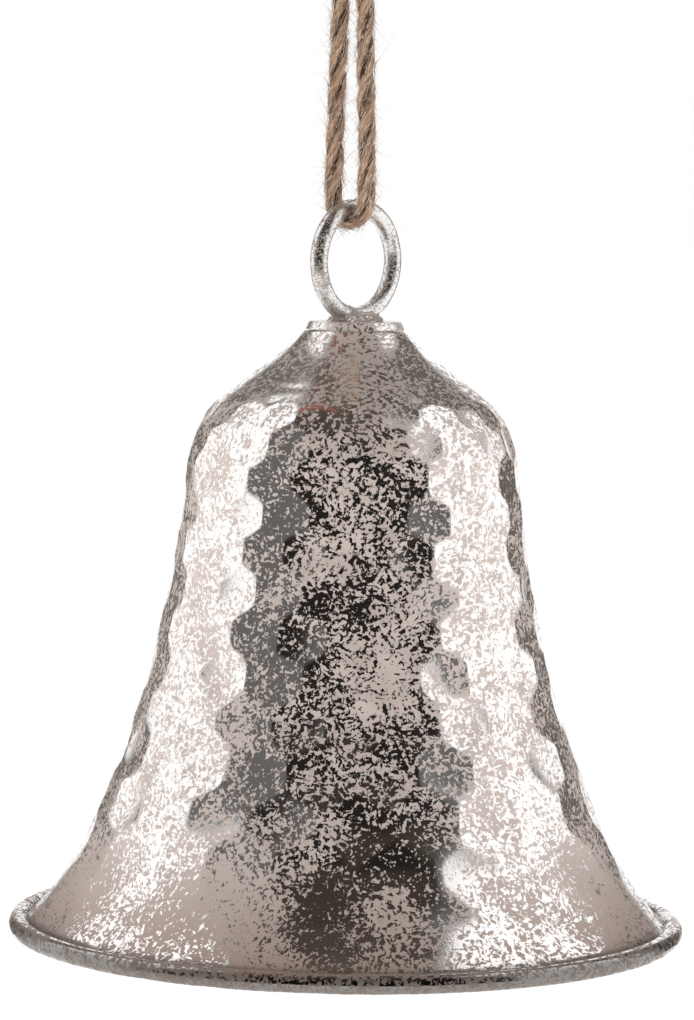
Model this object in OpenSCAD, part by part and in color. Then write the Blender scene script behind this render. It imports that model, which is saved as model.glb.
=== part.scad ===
// Christmas bell ornament: a hammered sheet-metal bell on a welded ring, hung from a loop of jute twine.
// Millimetres, +Z up, front towards -Y. The origin is the hanging point, just under the knot in the twine.

/* [Bell] */
// Diameter over the rolled edge
rim_d = 120; // [96:1:150]
// Height from the foot of the rolled edge to the top of the cap
bell_h = 109.2; // [85:0.1:140]
// Thickness of the sheet metal
sheet_t = 0.8; // [0.5:0.05:1.1]
// Outside radius of the wall at the waist, where the shoulder ends
waist_r = 29; // [25:0.1:34]
// Depth of the waist below the top of the cap
waist_drop = 25.6; // [20:0.1:32]
// Outside radius where the hollow neck turns into the round shoulder
shoulder_r = 18.5; // [16:0.1:21]
// Depth of that turn below the top of the cap
shoulder_drop = 10; // [8:0.1:12]
// Slope of the lip where it meets the rolled edge, in degrees below level
lip_slope = 30; // [20:1:40]

/* [Rolled edge] */
// Outside diameter of the rolled edge
roll_d = 3.5; // [2.8:0.1:4.4]
// Angle that the curl stops short of closing
roll_open = 50; // [40:1:80]

/* [Cap] */
// Diameter of the cap and of the neck's top
cap_d = 17.6; // [14:0.1:21]
// Thickness of the cap
cap_t = 1.4; // [1.2:0.1:2]
// Radius of the cap's rounded edge
cap_round = 1.1; // [0.5:0.1:1.2]

/* [Hanging ring] */
// Diameter of the ring, at the middle of its wire
ring_d = 19.2; // [16:0.1:24]
// Diameter of the ring's wire
ring_wire_d = 3.2; // [2.6:0.1:3.9]
// Depth ground off the ring's foot where it stands on the cap
ring_foot = 0.6; // [0.3:0.1:0.9]
// Distance along X from the twine to the bell's axis
ring_off = 1.9; // [0:0.1:3]

/* [Weld] */
// Length of the weld along the ring
weld_l = 11; // [8:0.5:13]
// Width of the weld across the ring
weld_w = 7; // [5:0.5:9]
// Height of the weld above the cap
weld_h = 2.6; // [1.5:0.1:4]

/* [Clapper] */
// Diameter of the eye under the crown, at the middle of its wire
eye_d = 8; // [7:0.5:10]
// Diameter of the eye's wire and shank
eye_wire_d = 2.2; // [1.8:0.1:2.6]
// Diameter of the link, at the middle of its wire
link_d = 9; // [8:0.5:11]
// Diameter of the link's wire
link_wire_d = 2; // [1.6:0.1:2.4]
// Diameter of the rod's own eye, at the middle of its wire
rod_eye_d = 7.5; // [7:0.5:10]
// Diameter of the clapper rod
rod_d = 2.6; // [2:0.1:3.2]
// Diameter of the striking ball
ball_d = 19; // [14:0.5:24]
// Height of the ball's underside above the foot of the bell
ball_rise = 6.5; // [3:0.5:15]
// Diameter of the riveted head under the ball
rivet_d = 4.6; // [4:0.1:6]
// Height of the riveted head
rivet_h = 1.2; // [0.8:0.1:2]

/* [Fits] */
// Gap between wires that hang in each other
hang_gap = 0.15; // [0.1:0.05:0.3]
// Radial gap between a shank, rod or core wire and what holds it
seat_gap = 0.02; // [0.01:0.01:0.05]

/* [Hidden] */
$fn = 96;

// The twine's route as [y, z, thickness]: down from the knot, under the ring's wire and back up.
// The bight is pressed thinner where the ring bears on it.
strand = [
    [1.6, 0, 3.1], [1.9, -7, 3.1], [2.4, -16, 3.1], [2.9, -25, 3.1], [3.2, -33, 3.1], [3.5, -41, 3.1],
    [3.75, -49, 3.1], [3.9, -55, 3.1], [3.9, -59, 3.1], [3.55, -61.4, 3], [2.65, -63, 2.6], [1.4, -63.7, 2.3],
];
bight = [0, -63.9, 2.1];
last = len(strand) - 1;
route = concat(
    [for (p = strand) [-p[0], p[1], p[2]]],
    [bight],
    [for (i = [last:-1:0]) strand[i]]
);
// The tails' routes as [x, z, thickness], up from the top of the knot.
long_tail = [[1.6, 9, 3.1], [2, 13, 3.1], [3.4, 18, 3.1], [5.6, 23, 3]];
short_tail = [[-1.6, 9, 3.1], [-1.8, 12, 3.1], [-2.8, 16, 3.1], [-4.4, 20, 3]];
twine_sides = 8;
knot_h = long_tail[0][1];
knot_flat_r = 3.6;
knot_belly = 1.6;

// Heights, from the hanging point down.
ring_r = ring_d / 2;
ring_wire_r = ring_wire_d / 2;
wire_z = bight[1] + bight[2] / 2 + hang_gap + ring_wire_r;
ring_z = wire_z - sqrt(ring_r * ring_r - ring_off * ring_off);
crown_z = ring_z - ring_r - ring_wire_r + ring_foot;
foot_z = crown_z - bell_h;

// The wall's outline, in a frame with its origin at the middle of the bell's foot.
roll_r = roll_d / 2;
roll_at = [rim_d / 2 - roll_r, roll_r];
lip_angle = 120;
neck_top = [cap_d / 2, bell_h - cap_t];
shoulder = [shoulder_r, bell_h - shoulder_drop];
waist = [waist_r, bell_h - waist_drop];
lip = roll_at + roll_r * [cos(lip_angle), sin(lip_angle)];
neck_slope = 58;
shoulder_slope = 33;
waist_slope = 85;
outer = concat(
    bezier(neck_top, neck_top + down(neck_slope, 4), shoulder - down(shoulder_slope, 7.5), shoulder, 12),
    tail(bezier(shoulder, shoulder + down(shoulder_slope, 5.6), waist - down(waist_slope, 8.5), waist, 12)),
    tail(bezier(waist, waist + down(waist_slope, 24), lip - down(lip_slope, 19), lip, 36))
);
inner = [for (i = [len(outer) - 1:-1:0]) outer[i] - sheet_t * outward(outer, i)];
curl_start = lip_angle - 6;
curl_end = lip_angle + roll_open - 360;
curl_steps = 26;
shank_r = eye_wire_d / 2;
shank_hole_r = shank_r + seat_gap;

// Heights in the bell, measured from its foot.
crown_under = bell_h - cap_t - sheet_t;
collar_r = 3;
collar_t = 1;
eye_z = crown_under - collar_t - eye_d / 2;
eye_wire_z = eye_z - eye_d / 2;
link_z = eye_wire_z + (eye_wire_d + link_wire_d) / 2 + hang_gap - link_d / 2;
link_wire_z = link_z - link_d / 2;
rod_eye_z = link_wire_z + (link_wire_d + rod_d) / 2 + hang_gap - rod_eye_d / 2;
ball_z = ball_rise + ball_d / 2;
ball_seat_z = ball_z - sqrt(pow(ball_d / 2, 2) - pow(rivet_d / 2, 2));

// A direction in the outline that heads outwards and falls at the given angle, of the given length.
function down(angle, long) = long * [cos(angle), -sin(angle)];

function bezier(a, b, c, d, steps) = [
    for (i = [0:steps])
        let (t = i / steps, s = 1 - t)
        s * s * s * a + 3 * s * s * t * b + 3 * s * t * t * c + t * t * t * d
];

// A list without its first point.
function tail(points) = [for (i = [1:len(points) - 1]) points[i]];

function unit(v) = v / norm(v);

// Unit direction of a path at one of its points.
function along(path, i) = unit(path[min(i + 1, len(path) - 1)] - path[max(i - 1, 0)]);

// Unit normal of a wall's outline, on its outer side.
function outward(path, i) = let (t = along(path, i)) [-t[1], t[0]];

function arc(middle, r, from, to, steps) = [
    for (i = [0:steps]) let (a = from + (to - from) * i / steps) middle + r * [cos(a), sin(a)]
];

module at_foot() {
    translate([ring_off, 0, foot_z]) children();
}

// A wire ring that stands upright: turn 0 faces the front, turn 90 the side.
module wire_ring(ring_diameter, wire_diameter, turn = 0) {
    rotate([0, 0, turn])
        rotate([90, 0, 0])
            rotate_extrude()
                translate([ring_diameter / 2, 0]) circle(d = wire_diameter, $fn = 32);
}

// A tube swept along a flat path. side is the direction square to the path.
module swept_tube(path, thickness, side) {
    rings = [
        for (i = [0:len(path) - 1])
            let (across = cross(along(path, i), side))
            for (k = [0:twine_sides - 1])
                let (a = 360 * k / twine_sides)
                path[i] + thickness[i] / 2 * (cos(a) * side + sin(a) * across)
    ];
    walls = [
        for (i = [0:len(path) - 2], k = [0:twine_sides - 1])
            let (next = (k + 1) % twine_sides, low = i * twine_sides, high = low + twine_sides)
            [low + k, low + next, high + next, high + k]
    ];
    first_end = [for (k = [twine_sides - 1:-1:0]) k];
    last_end = [for (k = [0:twine_sides - 1]) len(rings) - twine_sides + k];
    polyhedron(rings, concat(walls, [first_end, last_end]));
}

module bell_shell() {
    color("silver")
        at_foot()
            rotate_extrude()
                polygon(concat(
                    [[shank_hole_r, crown_under], [shank_hole_r, crown_under + sheet_t]],
                    outer,
                    tail(arc(roll_at, roll_r, lip_angle, curl_end, curl_steps)),
                    arc(roll_at, roll_r - sheet_t, curl_end, curl_start, curl_steps),
                    [for (p = inner) if (p[1] < crown_under) p],
                    [[inner[len(inner) - 1][0], crown_under]]
                ));
}

module rim_wire() {
    color("gray")
        at_foot()
            rotate_extrude()
                translate(roll_at) circle(r = roll_r - sheet_t - seat_gap, $fn = 24);
}

module crown_cap() {
    flat_r = cap_d / 2 - cap_round;
    color("lightgray")
        at_foot()
            rotate_extrude()
                polygon(concat(
                    [[shank_hole_r, bell_h], [shank_hole_r, bell_h - cap_t], [cap_d / 2, bell_h - cap_t]],
                    arc([flat_r, bell_h - cap_round], cap_round, 0, 90, 8)
                ));
}

module ring_body() {
    translate([ring_off, 0, ring_z]) wire_ring(ring_d, ring_wire_d);
}

// The half-space under the cap's top, as far as the ring and the weld reach.
module below_crown() {
    depth = 10;
    translate([ring_off - cap_d, -cap_d, crown_z - depth]) cube([2 * cap_d, 2 * cap_d, depth]);
}

module hanging_ring() {
    color("silver")
        difference() {
            ring_body();
            below_crown();
        }
}

module ring_weld() {
    top_share = 0.5;
    end_x = (weld_l - weld_w) / 2;
    color("dimgray")
        difference() {
            translate([ring_off, 0, crown_z])
                hull()
                    for (x = [-end_x, end_x])
                        translate([x, 0, 0])
                            cylinder(h = weld_h, d1 = weld_w, d2 = weld_w * top_share, $fn = 32);
            ring_body();
        }
}

module clapper_eye() {
    color("darkgray")
        at_foot() {
            translate([0, 0, eye_z + eye_d / 2]) cylinder(h = bell_h - eye_z - eye_d / 2, r = shank_r);
            translate([0, 0, crown_under - collar_t]) cylinder(h = collar_t, r = collar_r);
            translate([0, 0, eye_z]) wire_ring(eye_d, eye_wire_d, 90);
        }
}

module clapper_link() {
    color("gainsboro")
        at_foot()
            translate([0, 0, link_z]) wire_ring(link_d, link_wire_d);
}

module clapper_rod() {
    stem_top = rod_eye_z - rod_eye_d / 2;
    rivet_z = ball_seat_z - rivet_h;
    color("slategray")
        at_foot() {
            translate([0, 0, rod_eye_z]) wire_ring(rod_eye_d, rod_d, 90);
            translate([0, 0, rivet_z]) cylinder(h = stem_top - rivet_z, d = rod_d);
            translate([0, 0, rivet_z]) cylinder(h = rivet_h, d = rivet_d);
        }
}

module clapper_ball() {
    color("darkslategray")
        at_foot()
            difference() {
                translate([0, 0, ball_z]) sphere(d = ball_d);
                translate([0, 0, ball_z - ball_d]) cylinder(h = 2 * ball_d, r = rod_d / 2 + seat_gap);
                translate([0, 0, ball_seat_z - ball_d]) cylinder(h = ball_d, d = rivet_d + 1);
            }
}

module twine_loop() {
    color("tan")
        swept_tube([for (p = route) [0, p[0], p[1]]], [for (p = route) p[2]], [1, 0, 0]);
}

module twine_knot() {
    color("peru")
        rotate_extrude()
            polygon(concat(
                [[0, knot_h], [0, 0]],
                [for (i = [0:16]) [knot_flat_r + knot_belly * sin(180 * i / 16), knot_h * i / 16]]
            ));
}

module twine_tails() {
    color("tan")
        for (path = [long_tail, short_tail])
            swept_tube([for (p = path) [p[0], 0, p[1]]], [for (p = path) p[2]], [0, 1, 0]);
}

bell_shell();
rim_wire();
crown_cap();
hanging_ring();
ring_weld();
clapper_eye();
clapper_link();
clapper_rod();
clapper_ball();
twine_loop();
twine_knot();
twine_tails();
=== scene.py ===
# %% [markdown]
# # A hammered Christmas bell on a loop of twine
# The object is a bell spun from thin sheet iron, hammered all over, and leafed in silver that has worn
# into flakes. Its lip is rolled over a wire, a ring is welded to its cap, a clapper hangs in it, and it
# hangs from a knotted loop of jute twine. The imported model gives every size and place. Each piece is
# modelled round that frame, so nothing is fitted afterwards.

# %% Load the frame
import math

import bpy
import numpy as np
from mathutils import Matrix, Vector, noise


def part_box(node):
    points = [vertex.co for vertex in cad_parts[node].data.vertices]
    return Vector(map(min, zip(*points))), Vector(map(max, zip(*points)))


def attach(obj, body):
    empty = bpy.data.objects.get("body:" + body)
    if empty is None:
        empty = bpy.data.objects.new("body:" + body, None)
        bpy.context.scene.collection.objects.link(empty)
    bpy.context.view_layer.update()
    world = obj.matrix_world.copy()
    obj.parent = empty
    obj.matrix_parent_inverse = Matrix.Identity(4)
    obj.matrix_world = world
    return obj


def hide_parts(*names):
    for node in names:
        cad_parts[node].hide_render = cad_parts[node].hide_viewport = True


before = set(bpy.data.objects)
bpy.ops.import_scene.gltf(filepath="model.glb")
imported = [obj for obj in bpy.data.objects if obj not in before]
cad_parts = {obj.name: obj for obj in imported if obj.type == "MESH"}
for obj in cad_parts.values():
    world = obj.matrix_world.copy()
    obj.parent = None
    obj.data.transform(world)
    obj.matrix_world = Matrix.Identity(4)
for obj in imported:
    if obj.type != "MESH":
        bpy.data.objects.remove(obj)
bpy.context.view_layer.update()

MM = 0.001

# %% [markdown]
# Three boxes from the frame place everything else: the wall gives the bell's axis, its foot and its rim,
# the cap gives the crown, and the ring gives its own middle.

# %% Measure the frame
shell_low, shell_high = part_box("bell_shell")
cap_low, cap_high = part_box("crown_cap")
ring_low, ring_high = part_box("hanging_ring")
AXIS_X = (shell_low.x + shell_high.x) / 2
FOOT_Z = shell_low.z
CROWN_Z = cap_high.z
BELL_H = CROWN_Z - FOOT_Z
RIM_R = (shell_high.x - shell_low.x) / 2
CAP_R = (cap_high.x - cap_low.x) / 2
CAP_T = cap_high.z - cap_low.z
print("bell", round(BELL_H / MM, 1), "mm high,", round(2 * RIM_R / MM, 1), "mm across the rim")

# %% [markdown]
# ## Camera
# A long lens, which looks slightly down on the rim. A bell on twine hangs about a degree out of true, so
# the camera is rolled by that degree and the bell stays upright here.

# %% Camera
LENS = 220.0
SENSOR = 36
EYE_RANGE = 0.750
EYE_RISE = 0.1338
EYE_AZIMUTH = math.radians(-47.5)
LOOK_DOWN = math.radians(4.43)
LOOK_ASIDE = math.radians(0.07)
LEAN = math.radians(0.92)

bpy.ops.object.camera_add()
camera = bpy.context.object
camera.data.sensor_fit = "HORIZONTAL"
camera.data.sensor_width = SENSOR
camera.data.lens = LENS
camera.data.clip_end = 50
eye = Vector((
    AXIS_X + EYE_RANGE * math.sin(EYE_AZIMUTH),
    -EYE_RANGE * math.cos(EYE_AZIMUTH),
    FOOT_Z + EYE_RISE,
))
camera.matrix_world = (
    Matrix.Translation(eye)
    @ Matrix.Rotation(EYE_AZIMUTH + LOOK_ASIDE, 4, "Z")
    @ Matrix.Rotation(math.pi / 2 - LOOK_DOWN, 4, "X")
    @ Matrix.Rotation(LEAN, 4, "Z")
)
bpy.context.scene.camera = camera
print("camera at", [round(x, 3) for x in eye])

# %% [markdown]
# ## Helpers
# A piece is worked on alone: everything else is deselected first, since an operator acts on all that is
# selected. Meshes that follow a formula, such as twine, are written point by point.

# %% Helpers for pieces
def choose(piece):
    """Makes a piece the only selected one."""
    bpy.ops.object.select_all(action="DESELECT")
    piece.select_set(True)
    bpy.context.view_layer.objects.active = piece


def place_in_mesh(piece):
    """Moves an object's place, turn and scale into its mesh."""
    choose(piece)
    bpy.ops.object.transform_apply(location=True, rotation=True, scale=True)
    return piece


def mesh_piece(name, points, faces, uvs=None):
    """A piece from points in metres and faces, with one UV pair for each corner of each face."""
    mesh = bpy.data.meshes.new(name)
    mesh.from_pydata([tuple(p) for p in points], [], faces)
    if uvs is not None:
        layer = mesh.uv_layers.new(name="UVMap")
        layer.data.foreach_set("uv", np.asarray(uvs, float).ravel())
    mesh.validate()
    piece = bpy.data.objects.new(name, mesh)
    bpy.context.scene.collection.objects.link(piece)
    return piece


def points_of(piece):
    """A mesh's points as an array."""
    points = np.zeros(len(piece.data.vertices) * 3)
    piece.data.vertices.foreach_get("co", points)
    return points.reshape(-1, 3)


def move_points(piece, points):
    """Gives a mesh's points new places."""
    piece.data.vertices.foreach_set("co", np.asarray(points, float).ravel())
    piece.data.update()


def finish_mesh(piece, sharp=40):
    """Smooths a piece's shading, except along edges sharper than this angle."""
    choose(piece)
    bpy.ops.object.shade_smooth_by_angle(angle=math.radians(sharp))
    print(piece.name, len(piece.data.polygons), "faces")


# %% [markdown]
# ## The twine's route
# The loop is one strand: it leaves the knot, goes down, passes under the ring's wire and comes back up.
# The route is the same list of [y, z, thickness] in millimetres that the CAD tube follows, made into a
# smooth curve. The bight is pressed flat where the ring bears on it.

# %% Route
STRAND = [
    [1.6, 0, 3.1], [1.9, -7, 3.1], [2.4, -16, 3.1], [2.9, -25, 3.1], [3.2, -33, 3.1], [3.5, -41, 3.1],
    [3.75, -49, 3.1], [3.9, -55, 3.1], [3.9, -59, 3.1], [3.55, -61.4, 3], [2.65, -63, 2.6], [1.4, -63.7, 2.3],
]
BIGHT = [0, -63.9, 2.1]
LONG_TAIL = [[1.6, 9, 3.1], [2, 13, 3.1], [3.4, 18, 3.1], [5.6, 23, 3]]
SHORT_TAIL = [[-1.6, 9, 3.1], [-1.8, 12, 3.1], [-2.8, 16, 3.1], [-4.4, 20, 3]]
TWINE_D = 3.1 * MM
route = [[-y, z, t] for y, z, t in STRAND] + [BIGHT] + STRAND[::-1]


def smooth_line(points, spacing):
    """Evenly spaced points on a smooth curve through these, whose first three columns are a place."""
    p = np.asarray(points, float)
    p = np.vstack([2 * p[0] - p[1], p, 2 * p[-1] - p[-2]])
    knots = np.r_[0, np.cumsum(np.linalg.norm(np.diff(p[:, :3], axis=0), axis=1) ** 0.5)]
    curve = []
    for i in range(1, len(p) - 2):
        t0, t1, t2, t3 = knots[i - 1:i + 3]
        for t in np.linspace(t1, t2, 16, endpoint=False):
            a1 = (t1 - t) / (t1 - t0) * p[i - 1] + (t - t0) / (t1 - t0) * p[i]
            a2 = (t2 - t) / (t2 - t1) * p[i] + (t - t1) / (t2 - t1) * p[i + 1]
            a3 = (t3 - t) / (t3 - t2) * p[i + 1] + (t - t2) / (t3 - t2) * p[i + 2]
            b1 = (t2 - t) / (t2 - t0) * a1 + (t - t0) / (t2 - t0) * a2
            b2 = (t3 - t) / (t3 - t1) * a2 + (t - t1) / (t3 - t1) * a3
            curve.append((t2 - t) / (t2 - t1) * b1 + (t - t1) / (t2 - t1) * b2)
    curve = np.array(curve + [p[-2]])
    run = np.r_[0, np.cumsum(np.linalg.norm(np.diff(curve[:, :3], axis=0), axis=1))]
    even = np.linspace(0, run[-1], int(round(run[-1] / spacing)) + 1)
    return np.column_stack([np.interp(even, run, column) for column in curve.T])


loop_line = smooth_line([[0, y, z, t] for y, z, t in route], 0.4) * MM
loop_length = float(np.linalg.norm(np.diff(loop_line[:, :3], axis=0), axis=1).sum())
print("loop of twine", round(loop_length / MM, 1), "mm,", len(loop_line), "rings")

# %% [markdown]
# ## Laying up the twine
# Jute twine is three plies twisted round each other, to the right. A plain tube would look like wire.
# Here each ply is a tube of its own on a helix round the centre line, with ridges along it for bundles
# of fibre. The UV map is in millimetres, round the ply and along it, so that the finish can draw fibres.

# %% Plies
PLIES = 3
PLY_R = 0.86 * MM
PLY_OFFSET = 0.70 * MM
LAY_LENGTH = 19 * MM
PLY_SIDES = 20
rng = np.random.RandomState(11)


def line_frames(line):
    """Unit direction and two unit normals at each point of a line, turning as little as they can."""
    forward = np.gradient(line, axis=0)
    forward /= np.linalg.norm(forward, axis=1)[:, None]
    side = np.zeros_like(forward)
    last = np.array([1.0, 0, 0]) if abs(forward[0][0]) < 0.9 else np.array([0, 1.0, 0])
    for i, f in enumerate(forward):
        last = last - f * (last @ f)
        last /= np.linalg.norm(last)
        side[i] = last
    return forward, side, np.cross(forward, side)


def lay_up(line, thick, start_turn=0.0):
    """Points, faces and UVs of plied twine round a line. thick is its thickness at each point."""
    forward, side, across = line_frames(line)
    run = np.r_[0, np.cumsum(np.linalg.norm(np.diff(line, axis=0), axis=1))]
    flat = (thick / TWINE_D)[:, None]
    wide = flat ** -0.35
    points, faces, uvs = [], [], []
    n = len(line)
    for ply in range(PLIES):
        wander = 0.5 * np.sin(run / (9 * MM) + 2.1 * ply)
        turn = start_turn + 2 * math.pi * (run / LAY_LENGTH + ply / PLIES) + 0.25 * wander
        middle = line + PLY_OFFSET * (
            np.cos(turn)[:, None] * side * wide + np.sin(turn)[:, None] * across * flat
        )
        bundles = [(m, rng.uniform(-1, 1) * 0.5, rng.uniform(0, 6.3)) for m in (2, 3, 4, 5, 7, 8, 9)]
        swell = 1 + 0.07 * np.sin(run / (3.1 * MM) + ply) + 0.06 * np.sin(run / (1.7 * MM) + 2 * ply)
        scuffs = rng.uniform(-1, 1, (n, PLY_SIDES))
        first = len(points)
        for i in range(n):
            for k in range(PLY_SIDES):
                a = 2 * math.pi * k / PLY_SIDES
                ridge = sum(
                    math.cos(m * a + twist * run[i] / MM + phase) / m ** 0.5 for m, twist, phase in bundles
                )
                r = PLY_R * (swell[i] + 0.06 * ridge + 0.035 * scuffs[i][k])
                b = a + turn[i]
                points.append(middle[i] + r * (
                    math.cos(b) * side[i] * wide[i] + math.sin(b) * across[i] * flat[i]
                ))
        girth = 2 * math.pi * PLY_R / MM
        for i in range(n - 1):
            for k in range(PLY_SIDES):
                nxt = (k + 1) % PLY_SIDES
                low, high = first + i * PLY_SIDES, first + (i + 1) * PLY_SIDES
                faces.append((low + k, low + nxt, high + nxt, high + k))
                u0, u1 = ply * 10 + girth * k / PLY_SIDES, ply * 10 + girth * (k + 1) / PLY_SIDES
                v0, v1 = run[i] / MM, run[i + 1] / MM
                uvs += [(u0, v0), (u1, v0), (u1, v1), (u0, v1)]
        for end, ring in ((0, range(PLY_SIDES - 1, -1, -1)), (n - 1, range(PLY_SIDES))):
            faces.append(tuple(first + end * PLY_SIDES + k for k in ring))
            uvs += [(ply * 10, run[end] / MM)] * PLY_SIDES
    return points, faces, uvs


twine = mesh_piece("twine", *lay_up(loop_line[:, :3], loop_line[:, 3]))
finish_mesh(twine, 60)

# %% [markdown]
# ## Knot and tails
# Above the loop both strands go through one overhand knot and end as two cut tails. The knot starts as
# a wide open overhand knot, which a formula gives. Then it is pulled tight: every point is drawn to its
# neighbours, and points of different stretches push each other apart when they come too near.

# %% Knot
KNOT_THICK = 2.35 * MM
KNOT_POINTS = 110
knot_low, knot_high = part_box("twine_knot")
tail_tip_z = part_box("twine_tails")[1].z


def open_knot(aside):
    """One strand of a wide overhand knot, moved aside in depth so that two of them lie together."""
    t = np.linspace(-2.12, 2.12, KNOT_POINTS)
    x = (t ** 3 - 3 * t) * 3.6 * MM
    z = (t ** 5 - 10 * t) * 0.95 * MM
    depth = (t ** 4 - 4 * t ** 2 + 2) * 1.9 * MM + aside
    return np.column_stack([x, depth, z])


def pull_tight(strands, steps=420):
    """Shortens strands between their fixed ends until they bear on each other."""
    p = np.vstack(strands)
    n = KNOT_POINTS
    index = np.arange(len(p))
    same = (index[:, None] // n) == (index[None, :] // n)
    near = same & (abs(index[:, None] - index[None, :]) < 7)
    fixed = np.isin(index % n, (0, 1, 2, n - 3, n - 2, n - 1))
    starts = p.copy()
    bottom = knot_low.z
    goals = p.copy()
    for strand, (sign, tail_x) in enumerate(((-1, LONG_TAIL[0][0]), (1, SHORT_TAIL[0][0]))):
        for k in range(3):
            goals[strand * n + k] = [0, sign * 1.6 * MM, bottom - (2 - k) * MM]
            goals[strand * n + n - 1 - k] = [tail_x * MM, 0, knot_high.z + (2 - k) * MM]
    for step in range(steps):
        share = min(1.0, step / (0.55 * steps))
        p[fixed] = (1 - share) * starts[fixed] + share * goals[fixed]
        pull = np.zeros_like(p)
        pull[1:-1] = (p[:-2] + p[2:]) / 2 - p[1:-1]
        p[~fixed] += 0.5 * pull[~fixed]
        for _ in range(3):
            gap = p[:, None, :] - p[None, :, :]
            far = np.linalg.norm(gap, axis=2)
            press = np.clip(KNOT_THICK - far, 0, None)
            press[near] = 0
            push = (gap / np.maximum(far, 1e-9)[..., None] * press[..., None]).sum(1)
            push /= np.maximum((press > 0).sum(1), 1)[:, None]
            p[~fixed] += 0.6 * push[~fixed]
    return [p[:n], p[n:]]


strands = pull_tight([open_knot(-1.25 * MM), open_knot(1.25 * MM)])
knot_points, knot_faces, knot_uvs = [], [], []
knotted = []
for line, tail in zip(strands, (LONG_TAIL, SHORT_TAIL)):
    whole = np.vstack([line[:-2:2] / MM, [[x, 0, z] for x, z, _ in tail[1:]]])
    whole = smooth_line(whole, 0.4) * MM
    inside = (whole[:, 2] > knot_low.z) & (whole[:, 2] < knot_high.z)
    thick = np.where(inside, KNOT_THICK, TWINE_D)
    thick = np.convolve(np.pad(thick, 6, mode="edge"), np.ones(13) / 13, mode="valid")
    knotted.append((whole, thick))
    more = lay_up(whole, thick)
    base = len(knot_points)
    knot_points += more[0]
    knot_faces += [tuple(base + i for i in face) for face in more[1]]
    knot_uvs += more[2]
knot = mesh_piece("knot_and_tails", knot_points, knot_faces, knot_uvs)
finish_mesh(knot, 60)
spread = points_of(knot)
print("knot and tails reach", np.round(spread.min(0) / MM, 1), np.round(spread.max(0) / MM, 1), "mm")

# %% [markdown]
# ## Fuzz
# Jute is a hairy fibre. Loose ends stand off the twine, pale fibres lie along it, a few long ones stray,
# and the cut tails fray. Each hair is a bent three-sided tube that tapers to its tip, because there are
# thousands, and its UV map holds one chance shade for the whole hair.

# %% Fuzz
HAIR_RINGS = 5
hair_points, hair_faces, hair_uvs = [], [], []


def add_hairs(line, thick, count, length, width, lift, stray, first=0.02, last=0.98):
    """Hairs rooted on a stretch of a line. lift stands them off it and stray turns them every way."""
    forward, side, across = line_frames(line)
    for _ in range(count):
        i = int(rng.uniform(first, last) * (len(line) - 1))
        a = rng.uniform(0, 2 * math.pi)
        out = math.cos(a) * side[i] + math.sin(a) * across[i]
        fibre = forward[i] + 0.46 * np.cross(forward[i], out)
        way = (fibre if last == 1 or rng.rand() < 0.5 else -fibre) + lift * out + stray * rng.normal(size=3)
        way /= np.linalg.norm(way)
        long = length * rng.uniform(0.5, 1.5)
        bend = rng.normal(size=3) * 0.35 * long - out * lift * 0.3 * long
        one = np.cross(way, out + 0.01 * rng.normal(size=3))
        one /= np.linalg.norm(one)
        two = np.cross(way, one)
        root = line[i] + out * thick[i] * (0.44 + 0.08 * rng.rand())
        shade = rng.rand()
        base = len(hair_points)
        for ring in range(HAIR_RINGS):
            s = ring / (HAIR_RINGS - 1)
            middle = root + way * long * s + bend * s * s
            r = width * (1 - 0.85 * s)
            for k in range(3):
                b = 2 * math.pi * k / 3
                hair_points.append(middle + r * (math.cos(b) * one + math.sin(b) * two))
        for ring in range(HAIR_RINGS - 1):
            low = base + 3 * ring
            for k in range(3):
                nxt = (k + 1) % 3
                hair_faces.append((low + k, low + nxt, low + 3 + nxt, low + 3 + k))
        tip = base + 3 * (HAIR_RINGS - 1)
        hair_faces.append((base + 2, base + 1, base))
        hair_faces.append((tip, tip + 1, tip + 2))
        hair_uvs.extend([(shade, 0.5)] * (4 * 3 * (HAIR_RINGS - 1) + 6))


for line, thick in [(loop_line[:, :3], loop_line[:, 3])] + knotted:
    share = len(line) / len(loop_line)
    add_hairs(line, thick, int(2300 * share), 1.5 * MM, 0.030 * MM, 0.50, 0.30)
    add_hairs(line, thick, int(1900 * share), 2.3 * MM, 0.052 * MM, 0.06, 0.16)
    add_hairs(line, thick, int(50 * share), 6.0 * MM, 0.040 * MM, 0.40, 0.35)
for line, thick in knotted:
    add_hairs(line, thick * 0.8, 260, 3.4 * MM, 0.045 * MM, 0.05, 0.16, 0.99, 1)
fuzz = mesh_piece("twine_fuzz", hair_points, hair_faces, hair_uvs)
finish_mesh(fuzz, 80)
print(len(hair_faces) // 14, "hairs")

# %% [markdown]
# ## The wall's outline
# The bell is a body of revolution before it is hammered, so its outline is worked out first: three
# curves from the cap to the lip, then the curl of the rolled edge, then the inside back up. Just before
# the curl the wall dips, so that the rolled bead stands up behind a groove. The flare and the neck are a
# little fuller than in the CAD wall. The rows of the mesh follow the rows of hammer marks, which grow
# with the bell's girth.

# %% Outline
SHEET = 0.8 * MM
ROLL_R = 1.75 * MM
LIP_ANGLE = 120
LIP_JOIN = 152
ROLL_OPEN = 58
DIP_LONG = 5.7 * MM
FULLER = [(6 * MM, 44 * MM, 0.55 * MM), (98 * MM, 107.5 * MM, 0.75 * MM)]
CURL_STEPS = 26
MARKS_ROUND = 22
ROW_SHARE = 0.755
FIRST_ROW_Z = 82.5 * MM
COLUMNS = MARKS_ROUND * 16
ROWS_A_MARK = 10


def falling(angle, long):
    """A step that heads outwards and falls at an angle."""
    a = math.radians(angle)
    return np.array([math.cos(a), -math.sin(a)]) * long * MM


def bezier(a, b, c, d, steps):
    t = np.linspace(0, 1, steps + 1)[:, None]
    s = 1 - t
    return s ** 3 * a + 3 * s * s * t * b + 3 * s * t * t * c + t ** 3 * d


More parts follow.
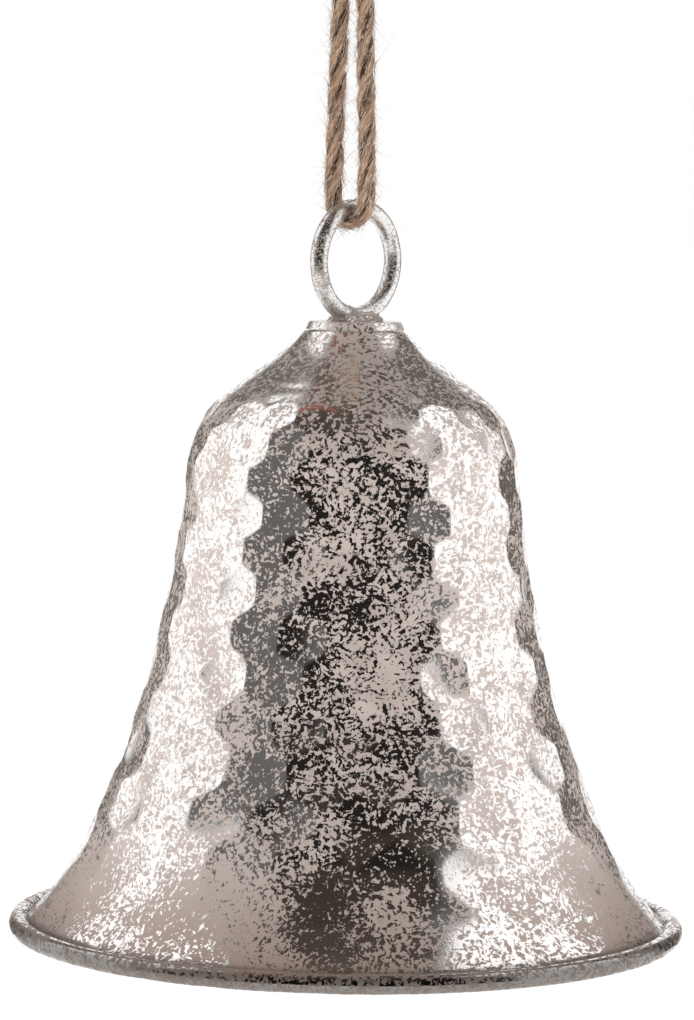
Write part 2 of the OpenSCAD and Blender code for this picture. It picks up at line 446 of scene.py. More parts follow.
def arc(middle, r, start, stop, steps):
    a = np.radians(np.linspace(start, stop, steps + 1))
    return middle + r * np.column_stack([np.cos(a), np.sin(a)])


neck_top = np.array([CAP_R, BELL_H - CAP_T])
shoulder = np.array([18.5 * MM, BELL_H - 10 * MM])
waist = np.array([29 * MM, BELL_H - 25.6 * MM])
roll_at = np.array([RIM_R - ROLL_R, ROLL_R])
lip = arc(roll_at, ROLL_R, LIP_ANGLE, LIP_ANGLE, 0)[0]
wall = np.vstack([
    bezier(neck_top, neck_top + falling(58, 4), shoulder - falling(33, 7.5), shoulder, 100),
    bezier(shoulder, shoulder + falling(33, 5.6), waist - falling(85, 8.5), waist, 120)[1:],
    bezier(waist, waist + falling(85, 24), lip - falling(30, 19), lip, 400)[1:],
])
for low, high, more in FULLER:
    wall[:, 0] += more * np.sin(np.pi * np.clip((wall[:, 1] - low) / (high - low), 0, 1))
join = arc(roll_at, ROLL_R, LIP_JOIN, LIP_JOIN, 0)[0]
wall = wall[wall[:, 0] < join[0] - 0.05 * MM]
dip_depth = wall[-1][1] - join[1]
wall[:, 1] -= dip_depth * np.clip(1 - (join[0] - wall[:, 0]) / DIP_LONG, 0, 1) ** 2
wall = np.vstack([wall, join])
wall_run = np.r_[0, np.cumsum(np.linalg.norm(np.diff(wall, axis=0), axis=1))]
row_height = ROW_SHARE * 2 * math.pi * wall[:, 0] / MARKS_ROUND
mark_row = np.r_[0, np.cumsum(np.diff(wall_run) * 2 / (row_height[1:] + row_height[:-1]))]
mark_row -= np.interp(-FIRST_ROW_Z, -wall[:, 1], mark_row)
print("wall", round(wall_run[-1] / MM, 1), "mm long, rows", np.round(mark_row[[0, -1]], 1))

# %% [markdown]
# The outline runs down the outside, round the curl and back up the inside. A row of marks is about
# three quarters of a mark's width, because the marks are staggered like the cells of a honeycomb.

# %% Rows of the mesh
NECK_ROW = -3.6
NECK_STEP = 0.6 * MM
neck_run = np.interp(NECK_ROW, mark_row, wall_run)
neck_steps = np.arange(0, neck_run, NECK_STEP)
hammer_rows = np.arange(NECK_ROW, mark_row[-1], 1 / ROWS_A_MARK)
outer_run = np.r_[neck_steps, np.interp(hammer_rows, mark_row, wall_run)[:-1], wall_run[-1]]
inner_run = np.r_[outer_run[:-3:3], outer_run[-4]][::-1]


def on_wall(run):
    """Places on the wall's outside, and the unit normals there, at these distances along it."""
    at = np.column_stack([np.interp(run, wall_run, wall[:, k]) for k in (0, 1)])
    slope = np.column_stack([np.interp(run, wall_run, np.gradient(wall[:, k], wall_run)) for k in (0, 1)])
    slope /= np.linalg.norm(slope, axis=1)[:, None]
    return at, np.column_stack([-slope[:, 1], slope[:, 0]])


outer_at, outer_normal = on_wall(outer_run)
inner_at, inner_normal = on_wall(inner_run)
inner_at = inner_at - SHEET * inner_normal
CURL_END = LIP_JOIN + ROLL_OPEN - 360
CROWN_UNDER = BELL_H - CAP_T - SHEET
SHANK_HOLE_R = 1.12 * MM
curl = np.vstack([
    arc(roll_at, ROLL_R, LIP_JOIN, CURL_END, CURL_STEPS)[1:],
    arc(roll_at, ROLL_R - SHEET, CURL_END, LIP_JOIN - 8, 14),
])
inner_keep = inner_at[:, 1] < CROWN_UNDER
inside_at = inner_at[inner_keep]
crown = np.array([
    [inside_at[-1][0], CROWN_UNDER], [SHANK_HOLE_R, CROWN_UNDER], [SHANK_HOLE_R, CROWN_UNDER + SHEET],
])
outline = np.vstack([outer_at, curl, inside_at, crown])
outline_normal = np.vstack([
    outer_normal, np.zeros_like(curl), inner_normal[inner_keep], np.zeros_like(crown),
])
outline_run = np.r_[outer_run, np.full(len(curl), -1), inner_run[inner_keep], np.full(len(crown), -1)]
first_inside = len(outer_at) + CURL_STEPS
print("outline of", len(outline), "points,", len(outer_at), "of them outside")

# %% [markdown]
# ## Spinning the wall
# A single point is extruded along the outline and the line is spun round the axis, which is how the
# real bell gets its shape too, on a lathe.

# %% Spin
def spun(name, outline, columns):
    """A closed outline of (radius, height above the foot), spun round the bell's axis."""
    bpy.ops.object.select_all(action="DESELECT")
    bpy.ops.mesh.primitive_plane_add(size=MM, location=(0, 0, 0))
    piece = bpy.context.object
    piece.name = piece.data.name = name
    bpy.ops.object.mode_set(mode="EDIT")
    bpy.ops.mesh.select_all(action="SELECT")
    bpy.ops.mesh.merge(type="CENTER")
    start = (AXIS_X + outline[0][0], 0, FOOT_Z + outline[0][1])
    bpy.ops.transform.translate(value=start)
    for step in np.diff(np.vstack([outline, outline[:1]]), axis=0):
        bpy.ops.mesh.extrude_region_move(TRANSFORM_OT_translate={"value": (step[0], 0, step[1])})
    bpy.ops.mesh.select_all(action="SELECT")
    bpy.ops.mesh.remove_doubles(threshold=0.002 * MM)
    bpy.ops.mesh.select_all(action="SELECT")
    bpy.ops.mesh.spin(steps=columns, angle=2 * math.pi, center=(AXIS_X, 0, 0), axis=(0, 0, 1))
    bpy.ops.mesh.select_all(action="SELECT")
    bpy.ops.mesh.remove_doubles(threshold=0.004 * MM)
    bpy.ops.mesh.select_all(action="SELECT")
    bpy.ops.mesh.normals_make_consistent(inside=False)
    bpy.ops.object.mode_set(mode="OBJECT")
    return piece


shell = spun("hammered_shell", outline, COLUMNS)
print("shell spun in", COLUMNS, "columns")

# %% [markdown]
# ## Hammer marks
# Each blow of a round-faced hammer leaves a shallow bowl, and neighbouring bowls meet in sharp ridges.
# So a point sinks by how near it is to the closest blow. The blows are staggered, and each has its own
# slight shift and depth. The ridges stand a third of a millimetre proud of the CAD wall and the bowls lie
# inside it, so the wall stays the same size on the whole. The inside follows the outside.

# %% Hammer
MARK_DEPTH = 0.052
MARK_STRAY = 0.12
FIRST_MARK = math.radians(192.0)
RIDGE = 70
FARTHEST = 0.29
NECK_FADE = (-2.9, -1.9)
FADE_FROM, FADE_TO = 27 * MM, 4 * MM
BEAD_DENT = 0.07
LIFT = 0.35 * MM
blows = np.random.RandomState(5).uniform(-1, 1, (40, MARKS_ROUND, 3))


def sink_of(around, row):
    """How far a hammered point sinks, in mark widths, from its place round the bell and its row."""
    softest = np.zeros_like(around)
    depth = np.zeros_like(around)
    for up in (-1, 0, 1, 2):
        line = np.floor(row).astype(int) + up
        stagger = 0.5 * (line % 2)
        for over in (-1, 0, 1, 2):
            place = np.floor(around - stagger).astype(int) + over
            jitter = blows[line % 40, place % MARKS_ROUND]
            du = around - (place + stagger + MARK_STRAY * jitter[..., 0])
            dv = ROW_SHARE * (row - (line + MARK_STRAY * jitter[..., 1]))
            weight = np.exp(-RIDGE * (du * du + dv * dv))
            softest += weight
            depth += weight * (1 + 0.42 * jitter[..., 2])
    near = -np.log(softest) / RIDGE
    return MARK_DEPTH * depth / softest * np.clip(1 - near / FARTHEST, 0, 1.2)


def smooth(value, low, high):
    t = np.clip((value - low) / (high - low), 0, 1)
    return t * t * (3 - 2 * t)


points = points_of(shell)
radial = points[:, :2] - [AXIS_X, 0]
radius = np.linalg.norm(radial, axis=1)
flat_points = np.column_stack([radius, points[:, 2] - FOOT_Z])
belongs = np.concatenate([
    ((chunk[:, None, :] - outline[None]) ** 2).sum(2).argmin(1) for chunk in np.array_split(flat_points, 40)
])
run = outline_run[belongs]
on_sheet = run >= 0
row = np.interp(run, wall_run, mark_row)
around = (np.arctan2(radial[:, 1], radial[:, 0]) - FIRST_MARK) / (2 * math.pi) * MARKS_ROUND
to_lip = smooth(run, wall_run[-1] - FADE_FROM, wall_run[-1] - FADE_TO)
share = smooth(row, *NECK_FADE) * (1 - to_lip) * on_sheet
girth = 2 * math.pi * np.interp(run, wall_run, wall[:, 0]) / MARKS_ROUND
sink = (sink_of(around, row) * girth - LIFT) * share
normal = outline_normal[belongs]
outward = radial / radius[:, None]
points[:, :2] -= outward * (normal[:, 0] * sink)[:, None]
points[:, 2] -= normal[:, 1] * sink
for i in np.flatnonzero((belongs >= len(outer_at)) & (belongs < first_inside)):
    dent = max(noise.noise(Vector(points[i]) * 130) + 0.5 * noise.noise(Vector(points[i]) * 420), 0)
    to_core = np.array([*(outward[i] * (roll_at[0] - radius[i])), FOOT_Z + roll_at[1] - points[i][2]])
    points[i] += to_core * BEAD_DENT * dent
move_points(shell, points)
finish_mesh(shell, 75)
print("deepest mark", round(sink.max() / MM, 2), "mm")

# %% [markdown]
# ## Cap
# A small disc closes the neck and carries the ring. Its edge leans in and carries the neck's slope on.

# %% Cap
CAP_LEAN = 0.6 * MM
CAP_EDGE = 0.22 * MM
cap_outline = np.vstack([
    [[SHANK_HOLE_R, BELL_H], [SHANK_HOLE_R, BELL_H - CAP_T], [CAP_R, BELL_H - CAP_T]],
    [[CAP_R - CAP_LEAN / 2, BELL_H - CAP_T / 2]],
    arc(np.array([CAP_R - CAP_LEAN - CAP_EDGE, BELL_H - CAP_EDGE]), CAP_EDGE, 20, 90, 4),
    [[r * MM, BELL_H] for r in (7.5, 6.5, 5, 3.5, 2.2)],
])
cap = spun("cap", cap_outline, 96)
points = points_of(cap)
for i, p in enumerate(points):
    dent = noise.noise(Vector(p) * 260) * 0.06 * MM
    points[i][2] += min(dent, 0) if p[2] > cap_low.z + CAP_T / 2 else 0
move_points(cap, points)
finish_mesh(cap, 50)

# %% [markdown]
# ## Ring
# The ring is bent from wire and its skin is pitted like galvanised steel. A torus gives its shape, a
# plane cuts its foot where it stands on the cap, and noise roughens it.

# %% Ring
RING_R = (ring_high.x - ring_low.x) / 2
WIRE_R = ring_high.y
RING_Z = ring_high.z - RING_R
bpy.ops.object.select_all(action="DESELECT")
bpy.ops.mesh.primitive_torus_add(
    major_radius=RING_R - WIRE_R, minor_radius=WIRE_R, major_segments=288, minor_segments=48,
    location=(AXIS_X, 0, RING_Z), rotation=(math.pi / 2, 0, 0),
)
ring = place_in_mesh(bpy.context.object)
ring.name = ring.data.name = "ring"
points = points_of(ring)
for i, p in enumerate(points):
    here = Vector(p)
    middle = Vector((p[0] - AXIS_X, 0, p[2] - RING_Z)).normalized() * (RING_R - WIRE_R)
    out = (here - Vector((AXIS_X, 0, RING_Z)) - middle).normalized()
    pits = noise.turbulence(here * 900, 4, False)
    lumps = noise.noise(here * 210)
    points[i] = here + out * (0.05 * lumps - 0.13 * max(pits - 0.25, 0) - 0.03) * MM
move_points(ring, points)
bpy.ops.object.mode_set(mode="EDIT")
bpy.ops.mesh.select_all(action="SELECT")
bpy.ops.mesh.bisect(plane_co=(0, 0, CROWN_Z), plane_no=(0, 0, 1), use_fill=True, clear_inner=True)
bpy.ops.object.mode_set(mode="OBJECT")
finish_mesh(ring, 60)

# %% [markdown]
# ## Weld
# A rough run of weld metal holds the ring's foot to the cap. It is a ball, flattened and stretched to
# the CAD weld's size, with lumps and ripples from the welding rod and one extra lump to one side.

# %% Weld
weld_low, weld_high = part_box("ring_weld")
WELD_H = weld_high.z - weld_low.z
bpy.ops.object.select_all(action="DESELECT")
bpy.ops.mesh.primitive_ico_sphere_add(subdivisions=6, radius=1, location=(0, 0, 0))
weld = bpy.context.object
weld.name = weld.data.name = "weld"
points = points_of(weld)
half_x, half_y = (weld_high.x - weld_low.x) / 2, (weld_high.y - weld_low.y) / 2
for i, p in enumerate(points):
    x, y, z = p
    lump = 1 + 0.13 * noise.noise(Vector((x * 2.3, y * 2.3, z * 2.3 + 7)))
    lump += 0.05 * noise.noise(Vector(p) * 7)
    ripple = 1 + 0.04 * math.sin(11 * x + 2 * y)
    saddle = 0.80 + 0.34 * min(abs(x) * 1.5, 1) ** 2
    drop = 0.32 * math.exp(-((x + 0.52) ** 2 + (y + 0.25) ** 2) / 0.04)
    flare = 1 + 0.25 * (1 - min(abs(z) * 1.6, 1))
    points[i] = [
        AXIS_X + half_x * 0.86 * x * lump * flare,
        half_y * 0.8 * y * lump * flare,
        CROWN_Z + WELD_H * z * (lump * ripple * saddle + drop),
    ]
move_points(weld, points)
choose(weld)
bpy.ops.object.mode_set(mode="EDIT")
bpy.ops.mesh.select_all(action="SELECT")
bpy.ops.mesh.bisect(
    plane_co=(0, 0, CROWN_Z - 0.05 * MM), plane_no=(0, 0, 1), use_fill=True, clear_inner=True,
)
bpy.ops.object.mode_set(mode="OBJECT")
finish_mesh(weld, 60)

# %% [markdown]
# ## Writing finishes
# A finish is a net of nodes. Python's own arithmetic is easier to read than links, so a small class
# wraps a socket: adding or multiplying two of them adds the Math node that does it.

# %% Node helpers
class Value:
    """A node's output that arithmetic works on."""

    def __init__(self, finish, socket):
        self.finish, self.socket = finish, socket

    def _math(self, operation, first, second):
        return self.finish.node("ShaderNodeMath", {"operation": operation}, first, second)

    def __add__(self, other):
        return self._math("ADD", self, other)

    def __radd__(self, other):
        return self._math("ADD", other, self)

    def __sub__(self, other):
        return self._math("SUBTRACT", self, other)

    def __rsub__(self, other):
        return self._math("SUBTRACT", other, self)

    def __mul__(self, other):
        return self._math("MULTIPLY", self, other)

    def __rmul__(self, other):
        return self._math("MULTIPLY", other, self)


class Finish:
    """A material whose nodes are written as expressions."""

    def __init__(self, name):
        self.material = bpy.data.materials.new(name)
        self.material.use_nodes = True
        self.tree = self.material.node_tree
        self.shader = self.tree.nodes["Principled BSDF"]
        self.place = self.node("ShaderNodeTexCoord", output="Object")
        self.flat = self.node("ShaderNodeTexCoord", output="UV")

    def node(self, kind, settings=None, *inputs, output=0, **named):
        """Adds a node, sets it, feeds its sockets by order or by name, and gives one output."""
        made = self.tree.nodes.new(kind)
        for key, value in (settings or {}).items():
            if key == "stops":
                ramp = made.color_ramp.elements
                while len(ramp) < len(value):
                    ramp.new(0.5)
                for stop, (at, colour) in zip(ramp, value):
                    stop.position, stop.color = at, (*colour, 1)
            else:
                setattr(made, key, value)
        for key, value in [*enumerate(inputs), *named.items()]:
            socket = made.inputs[key.replace("_", " ") if isinstance(key, str) else key]
            if isinstance(value, Value):
                self.tree.links.new(value.socket, socket)
            elif value is not None:
                socket.default_value = value
        return Value(self, made.outputs[output])

    def noise(self, scale, detail=4, rough=0.6, at=None):
        """Fractal noise from 0 to 1. scale is in features a metre, or a millimetre on the UV map."""
        return self.node(
            "ShaderNodeTexNoise", {}, Vector=at or self.place, Scale=scale, Detail=detail, Roughness=rough,
        )

    def step(self, value, low, high):
        """0 below low, 1 above high, and smooth between them."""
        return self.node(
            "ShaderNodeMapRange", {"interpolation_type": "SMOOTHSTEP"}, value, low, high, 0.0, 1.0,
        )

    def mix(self, mask, first, second):
        """Colour first where mask is 0, second where it is 1."""
        first, second = [c if isinstance(c, Value) else (*c, 1) for c in (first, second)]
        made = self.tree.nodes.new("ShaderNodeMix")
        made.data_type = "RGBA"
        for index, value in ((0, mask), (6, first), (7, second)):
            if isinstance(value, Value):
                self.tree.links.new(value.socket, made.inputs[index])
            else:
                made.inputs[index].default_value = value
        return Value(self, made.outputs[2])

    def vector(self, operation, *inputs, output=0):
        """A sum on colours or places."""
        return self.node("ShaderNodeVectorMath", {"operation": operation}, *inputs, output=output)

    def stretch(self, scale, turn=(0, 0, 0), at=None):
        """The piece's own coordinates, scaled and turned for a pattern."""
        return self.node("ShaderNodeMapping", {}, at or self.place, Scale=scale, Rotation=turn)

    def bump(self, height, strength, depth):
        return self.node("ShaderNodeBump", {}, Strength=strength, Distance=depth, Height=height)

    def surface(self, **sockets):
        """Sets the shader's own sockets, by name."""
        for key, value in sockets.items():
            socket = self.shader.inputs[key.replace("_", " ")]
            if isinstance(value, Value):
                self.tree.links.new(value.socket, socket)
            else:
                socket.default_value = value
        return self.material


# %% [markdown]
# ## Silver leaf
# The bell shines like a mirror where the leaf is whole, and is satin and taupe where it has been rubbed
# away. The leaf is torn into short strokes that lie every way. Cells a few millimetres wide each turn the
# pattern by a chance angle, noise stretched along it draws the strokes, and a slower noise moves the
# level that cuts them off, so that some patches are nearly bare and others nearly whole. Low on the
# flare the rubbed metal is painted darker and browner, a painted shade for its upward-facing side, and
# a painted shadow darkens the lowest few millimetres: groove and bead. The whole shell, its bead and its
# inside wear this one finish.

# %% Leafed finish
# Painted shade on the upward-facing flare: the rubbed metal low on it is made darker and browner.
FLARE_SHADE_TINT = (0.76, 0.685, 0.645)
FLARE_SHADE_FROM, FLARE_SHADE_TO = 5 * MM, 26 * MM
# Painted shadow in the groove and over the bead: the lowest few millimetres of the shell are darkened.
GROOVE_SHADE = (0.085, 0.072, 0.062)
GROOVE_SHADE_FROM, GROOVE_SHADE_TO = 2.9 * MM, 4.3 * MM
GROOVE_SHADE_AMOUNT = 0.8
WHOLE_LEVEL, WORN_LEVEL = 0.615, 0.630
WHOLE_TURN = (6.28, 6.28, 6.28)
UP = (0, 0, 1)


def leafed(
    name, size=1.0, cover=0.0, tint=(0.84, 0.815, 0.79), rubbed=(0.655, 0.555, 0.50), shine=0.09,
    pits=0.42, patches=(), painted_low_shade=False,
):
    """Worn silver leaf. size scales its strokes, cover moves how much is rubbed away, pits roughens it."""
    f = Finish(name)
    wobble = f.node("ShaderNodeTexNoise", {}, f.place, output="Color", Scale=700 / size, Detail=2)
    shaken = f.vector("MULTIPLY_ADD", wobble, (0.0016 * size,) * 3, f.place)
    chance = f.node(
        "ShaderNodeTexVoronoi", {"feature": "F1"}, output="Color", Vector=shaken, Scale=520 / size,
    )
    turn = f.vector("MULTIPLY", chance, WHOLE_TURN)
    turned = f.stretch((1, 1, 0.36), at=f.node("ShaderNodeMapping", {}, f.place, Rotation=turn))
    strokes = f.noise(1250 / size, 3, 0.62, at=turned)
    crumbs = f.noise(2100 / size, 2, 0.6)
    patch = f.noise(85 / size, 4, 0.6)
    level = strokes * 0.66 + crumbs * 0.22 + patch * 0.30 + 0.03
    for place, reach, amount in patches:
        away = f.vector("DISTANCE", f.place, place, output="Value")
        level = level + amount * (1 - f.step(away + (patch - 0.5) * reach, 0.35 * reach, 1.15 * reach))
    worn = f.step(level, WHOLE_LEVEL - cover, WORN_LEVEL - cover)
    smear = f.noise(330 / size, 4, 0.62)
    clouds = f.noise(42, 4, 0.55)
    bright = f.mix(clouds, tint, [c * 0.90 for c in tint])
    dull = f.mix(smear, [c * 1.06 for c in rubbed], [c * 0.84 for c in rubbed])
    # Painted shade: darker, browner rubbed metal low on the flare, then a painted shadow over groove and
    # bead.
    if painted_low_shade:
        height = f.vector("DOT_PRODUCT", f.place, UP, output="Value")
        low = 1 - f.step(height + smear * 0.01, FOOT_Z + FLARE_SHADE_FROM, FOOT_Z + FLARE_SHADE_TO)
        dull = f.mix(low, dull, [c * s for c, s in zip(rubbed, FLARE_SHADE_TINT)])
        # Painted shadow over the groove and the bead, the lowest few millimetres of the shell.
        groove = 1 - f.step(height + clouds * 0.0008, FOOT_Z + GROOVE_SHADE_FROM, FOOT_Z + GROOVE_SHADE_TO)
        bright, dull = (f.mix(groove * GROOVE_SHADE_AMOUNT, shade, GROOVE_SHADE) for shade in (bright, dull))
    return f.surface(
        Base_Color=f.mix(worn, bright, dull),
        Metallic=1 - worn * 0.78,
        Roughness=shine + worn * 0.42 + smear * 0.05,
        Normal=f.bump(strokes * 0.55 + crumbs * 0.35 - worn * 0.20, pits, 0.06 * MM),
    )


def on_bell(turn, height):
    """A place on the wall, from its turn to the right of the camera's side and its height above the foot."""
    a = EYE_AZIMUTH + math.radians(turn)
    r = float(np.interp(-height * MM, -wall[:, 1], wall[:, 0]))
    return (AXIS_X + r * math.sin(a), -r * math.cos(a), FOOT_Z + height * MM)


WORN_PATCHES = [
    (on_bell(6, 48), 11 * MM, 0.034), (on_bell(-27, 8), 16 * MM, 0.085), (on_bell(-66, 9), 14 * MM, 0.10),
    (on_bell(62, 12), 15 * MM, 0.08), (on_bell(14, 24), 13 * MM, -0.035), (on_bell(-2, 9), 12 * MM, -0.05),
    (on_bell(-24, 72), 8 * MM, -0.025), (on_bell(160, 55), 14 * MM, 0.06), (on_bell(-120, 30), 15 * MM, 0.05),
]
shell_leaf = leafed("leafed_sheet", cover=-0.008, patches=WORN_PATCHES, painted_low_shade=True)
cap_leaf = leafed("leafed_cap", size=0.8, shine=0.14)
wire_leaf = leafed(
    "leafed_wire", size=0.42, cover=-0.03, tint=(0.77, 0.745, 0.72), rubbed=(0.42, 0.365, 0.33),
    shine=0.20, pits=0.9,
)
weld_leaf = leafed(
    "leafed_weld", size=0.42, tint=(0.70, 0.65, 0.60), rubbed=(0.45, 0.38, 0.33), shine=0.28, pits=0.9,
)

# %% [markdown]
# ## Iron
# The clapper, its wires and the rim's core wire are plain iron.

# %% Other metals
RUST = (0.24, 0.12, 0.06)
RUST_FROM, RUST_TO = 0.624, 0.74


def plain_metal(name, colour, dark, rough, scale):
    """Bare iron: two shades in clouds, a little rust in spots, and a fine grain."""
    f = Finish(name)
    clouds = f.noise(scale * 0.4, 4, 0.6)
    spots = f.step(f.noise(scale * 1.7, 5, 0.7), RUST_FROM, RUST_TO)
    grain = f.noise(scale * 9, 3, 0.6)
    return f.surface(
        Base_Color=f.mix(spots, f.mix(f.step(clouds, 0.35, 0.65), dark, colour), RUST),
        Metallic=0.9 - spots * 0.6,
        Roughness=rough + spots * 0.25 + grain * 0.12,
        Normal=f.bump(grain * 0.5 + clouds, 0.4, 0.08 * MM),
    )


iron_wire = plain_metal("iron_wire", (0.36, 0.34, 0.33), (0.22, 0.20, 0.19), 0.38, scale=500)
cast_ball = plain_metal("cast_ball", (0.30, 0.28, 0.27), (0.19, 0.17, 0.16), 0.48, scale=260)

# %% [markdown]
# ## Jute
# Jute is tan, with pale fibres and dark gaps between the plies. Noise stretched along the ply on the UV
# map draws the fibres at three sizes, and the colour follows the same noise as the bumps: pale where they
# stand high and nearly black where they lie low, partly the jute's own tone and partly painted highlight
# and painted shade. Across the ply the UV map starts at its outer side, so the side that faces the next
# ply gets a painted shade, where little light gets in.

# %% Jute finish
PLY_GIRTH = 2 * math.pi * PLY_R / MM


def jute(name):
    """Twisted fibre, read from the UV map of the plies."""
    f = Finish(name)
    slant = (0, 0, math.radians(8))
    bundle, fibre, hair = [
        f.noise(1, 3, 0.65, at=f.stretch((s, s * 0.14, 1), slant, f.flat)) for s in (1.9, 5, 12)
    ]
    depth = bundle * 0.36 + fibre * 0.40 + hair * 0.24
    # Colour from bump height: partly the jute's own tone, partly painted shade in the low parts and painted
    # highlight on the high ones.
    tone = f.node("ShaderNodeValToRGB", {"stops": [
        (0.38, (0.045, 0.022, 0.013)), (0.455, (0.225, 0.128, 0.078)),
        (0.53, (0.49, 0.335, 0.232)), (0.63, (0.86, 0.69, 0.545)),
    ]}, depth)
    across = f.node("ShaderNodeSeparateXYZ", {}, f.flat)
    on_ply = f.node("ShaderNodeMath", {"operation": "MODULO"}, across, 10.0)
    from_inside = f.node("ShaderNodeMath", {"operation": "ABSOLUTE"}, on_ply - PLY_GIRTH / 2)
    # Painted shade on the side of each ply that faces the next, where little light gets in.
    gap = 1 - f.step(from_inside * (2 / PLY_GIRTH) + (bundle - 0.5) * 0.45, 0.46, 0.74)
    blotch = f.noise(0.35, 2, 0.5, at=f.flat)
    return f.surface(
        Base_Color=f.mix(gap * 0.90, f.mix(blotch * 0.3, tone, (0.36, 0.235, 0.155)), (0.030, 0.015, 0.009)),
        Roughness=0.9,
        Normal=f.bump(depth, 1.0, 0.3 * MM),
        Specular_IOR_Level=0.15,
    )


def loose_fibre(name):
    """A single shade for each hair, from brown to nearly white."""
    f = Finish(name)
    shade = f.node("ShaderNodeSeparateXYZ", {}, f.flat)
    tone = f.node("ShaderNodeValToRGB", {"stops": [
        (0.0, (0.11, 0.058, 0.034)), (0.30, (0.385, 0.255, 0.175)),
        (0.65, (0.72, 0.56, 0.435)), (1.0, (0.96, 0.84, 0.72)),
    ]}, shade)
    return f.surface(Base_Color=tone, Roughness=0.7, Specular_IOR_Level=0.3)


fibre_finish = loose_fibre("loose_fibre")
jute_finish = jute("jute")

# %% [markdown]
# ## Dressing the pieces
# Every new piece gets its finish, rides on the body that it belongs to, and stands for its CAD node.
# CAD nodes whose shape is already right stay, in a better finish.

# %% Finishes and bodies
def wear(piece, material):
    """Makes this finish a piece's only one."""
    piece.data.materials.clear()
    piece.data.materials.append(material)


def dress(piece, body, replaced, material):
    """Gives a piece its finish and its body, and hides the CAD nodes that it stands for."""
    wear(piece, material)
    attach(piece, body)
    if replaced:
        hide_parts(*replaced)


dress(twine, "twine", ["twine_loop"], jute_finish)
dress(knot, "twine", ["twine_knot", "twine_tails"], jute_finish)
dress(fuzz, "twine", [], fibre_finish)
dress(shell, "bell", ["bell_shell"], shell_leaf)
dress(cap, "bell", ["crown_cap"], cap_leaf)
dress(ring, "bell", ["hanging_ring"], wire_leaf)
dress(weld, "bell", ["ring_weld"], weld_leaf)
for node, material in (
    ("rim_wire", iron_wire), ("clapper_eye", iron_wire), ("clapper_link", iron_wire),
    ("clapper_rod", iron_wire), ("clapper_ball", cast_ball),
):
    wear(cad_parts[node], material)

# %% [markdown]
# ## Studio
# A bright metal shows its surroundings, so they are part of the look. The world is white to the camera,
# but as light it is dimmer from above, and a pale floor lies far below the bell.

# %% Room
CEILING = (0.15, 0.62, 1.0, 0.08)
scene = bpy.context.scene
scene.view_settings.view_transform = "Standard"
world = bpy.data.worlds.new("white_room")
scene.world = world
world.use_nodes = True
nodes, links = world.node_tree.nodes, world.node_tree.links
direction = nodes.new("ShaderNodeTexCoord")
parts = nodes.new("ShaderNodeSeparateXYZ")
ceiling = nodes.new("ShaderNodeMapRange")
seen = nodes.new("ShaderNodeLightPath")
light = nodes.new("ShaderNodeMath")
ceiling.interpolation_type = "SMOOTHSTEP"
for index, value in enumerate(CEILING):
    ceiling.inputs[index + 1].default_value = value
light.operation = "MAXIMUM"
links.new(direction.outputs["Generated"], parts.inputs[0])
links.new(parts.outputs["Z"], ceiling.inputs["Value"])
links.new(ceiling.outputs[0], light.inputs[0])
links.new(seen.outputs["Is Camera Ray"], light.inputs[1])
links.new(light.outputs[0], nodes["Background"].inputs["Strength"])
nodes["Background"].inputs["Color"].default_value = (1, 1, 1, 1)

FLOOR_Z = FOOT_Z - 0.35
bpy.ops.object.select_all(action="DESELECT")
bpy.ops.mesh.primitive_plane_add(size=40, location=(0, 0, FLOOR_Z))
floor = bpy.context.object
floor.name = "floor"
pale = Finish("pale_floor")
floor.data.materials.append(pale.surface(
    Base_Color=(0.94, 0.94, 0.93, 1), Roughness=0.9, Emission_Color=(1, 1, 1, 1), Emission_Strength=0.80,
))

# %% [markdown]
# The surroundings that the metal mirrors are painted on the inside of a ball that only reflections see.
# Each zone is a patch of light between two turns and two rises, in degrees from the camera's side, laid
# over the last: white panels, grey gaps behind them that draw the bell's edges, and a dark front.

# %% Mirrored surroundings
DOME_R = 1.6
ALL_ROUND = (-400, 400)
ZONES = [
    ("left_gap", (-163, -135), (-90, 90), (0.175, 0.16, 0.143), 3),
    ("right_gap", (127, 158), (-90, 90), (0.15, 0.132, 0.118), 3),
    ("ceiling", ALL_ROUND, (62, 130), (0.115, 0.095, 0.078), 5),
    ("back_lamp", (-400, -150), (62, 80), (0.30, 0.245, 0.195), 7),
    ("red_lamp", (-130, -45), (67, 77), (0.34, 0.15, 0.12), 4),
    ("front_grey", (-72, 61), (-90, 66), (0.150, 0.145, 0.142), 2),
    ("front_dark", (-33, 45), (-90, 54), (0.015, 0.012, 0.010), 4),
    ("front_brown", (-36, 47), (30, 58), (0.052, 0.041, 0.032), 6),
    ("front_top", (-72, 61), (54, 69), (0.070, 0.056, 0.046), 5),
    ("floor", ALL_ROUND, (-130, -23), (0.84, 0.77, 0.72), 5),
]


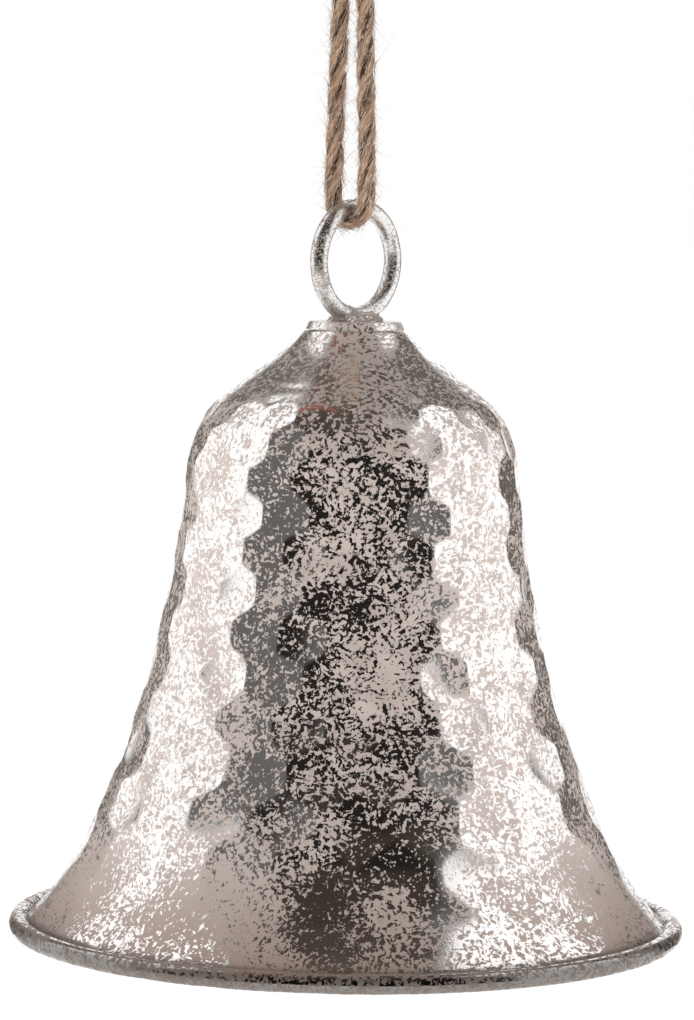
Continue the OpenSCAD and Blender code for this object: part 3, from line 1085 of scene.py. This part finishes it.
def mirrored_room():
    """A ball round the bell with the studio painted on it in light."""
    bpy.ops.object.select_all(action="DESELECT")
    bpy.ops.mesh.primitive_uv_sphere_add(segments=64, ring_count=32, radius=DOME_R)
    dome = bpy.context.object
    dome.name = "mirrored_room"
    f = Finish("room_light")
    towards = (math.sin(EYE_AZIMUTH), -math.cos(EYE_AZIMUTH), 0)
    right = (math.cos(EYE_AZIMUTH), math.sin(EYE_AZIMUTH), 0)

    def along(way):
        return f.vector("DOT_PRODUCT", f.place, way, output="Value")

    def between(value, low, high, soft):
        return f.step(value, low - soft, low + soft) * (1 - f.step(value, high - soft, high + soft))

    degrees = 180 / math.pi
    turn = f.node("ShaderNodeMath", {"operation": "ARCTAN2"}, along(right), along(towards)) * degrees
    rise = f.node("ShaderNodeMath", {"operation": "ARCSINE"}, along((0, 0, 1 / DOME_R))) * degrees
    light = (1.3, 1.3, 1.31)
    for name, turns, rises, colour, soft in ZONES:
        light = f.mix(between(turn, *turns, soft) * between(rise, *rises, soft), light, colour)
    dome.data.materials.append(f.surface(
        Base_Color=(0, 0, 0, 1), Roughness=1.0, Specular_IOR_Level=0.0,
        Emission_Color=light, Emission_Strength=1.0,
    ))
    dome.visible_camera = dome.visible_diffuse = dome.visible_shadow = dome.visible_transmission = False
    print("mirrored room of", len(ZONES), "zones")


mirrored_room()

# %% [markdown]
# ## Lights
# Two side lights, a front one and a back one light what is not mirrored: the rubbed metal and the twine.
# The metal does not mirror the lamps themselves, because the ball above already holds their light.

# %% Lights
def soft_light(name, azimuth, rise, far, width, height, power):
    """A rectangle of light that faces the bell from azimuth, seen from the camera's own side."""
    bpy.ops.object.light_add(type="AREA")
    lamp = bpy.context.object
    lamp.name = name
    lamp.data.shape = "RECTANGLE"
    lamp.data.size, lamp.data.size_y = width, height
    lamp.data.energy = power
    a = EYE_AZIMUTH + math.radians(azimuth)
    r = math.radians(rise)
    aim = Vector((AXIS_X, 0, (CROWN_Z + FOOT_Z) / 2))
    way = Vector((math.sin(a) * math.cos(r), -math.cos(a) * math.cos(r), math.sin(r)))
    lamp.location = aim + way * far
    lamp.rotation_euler = way.to_track_quat("Z", "Y").to_euler()
    lamp.visible_glossy = lamp.visible_camera = False


soft_light("left_light", -95, 10, 1.2, 0.9, 1.2, 2.5)
soft_light("right_light", 92, 10, 1.2, 0.9, 1.2, 2.5)
soft_light("front_light", -8, 2, 1.4, 0.9, 0.9, 5)
soft_light("back_light", 172, 8, 1.4, 0.9, 0.9, 4)
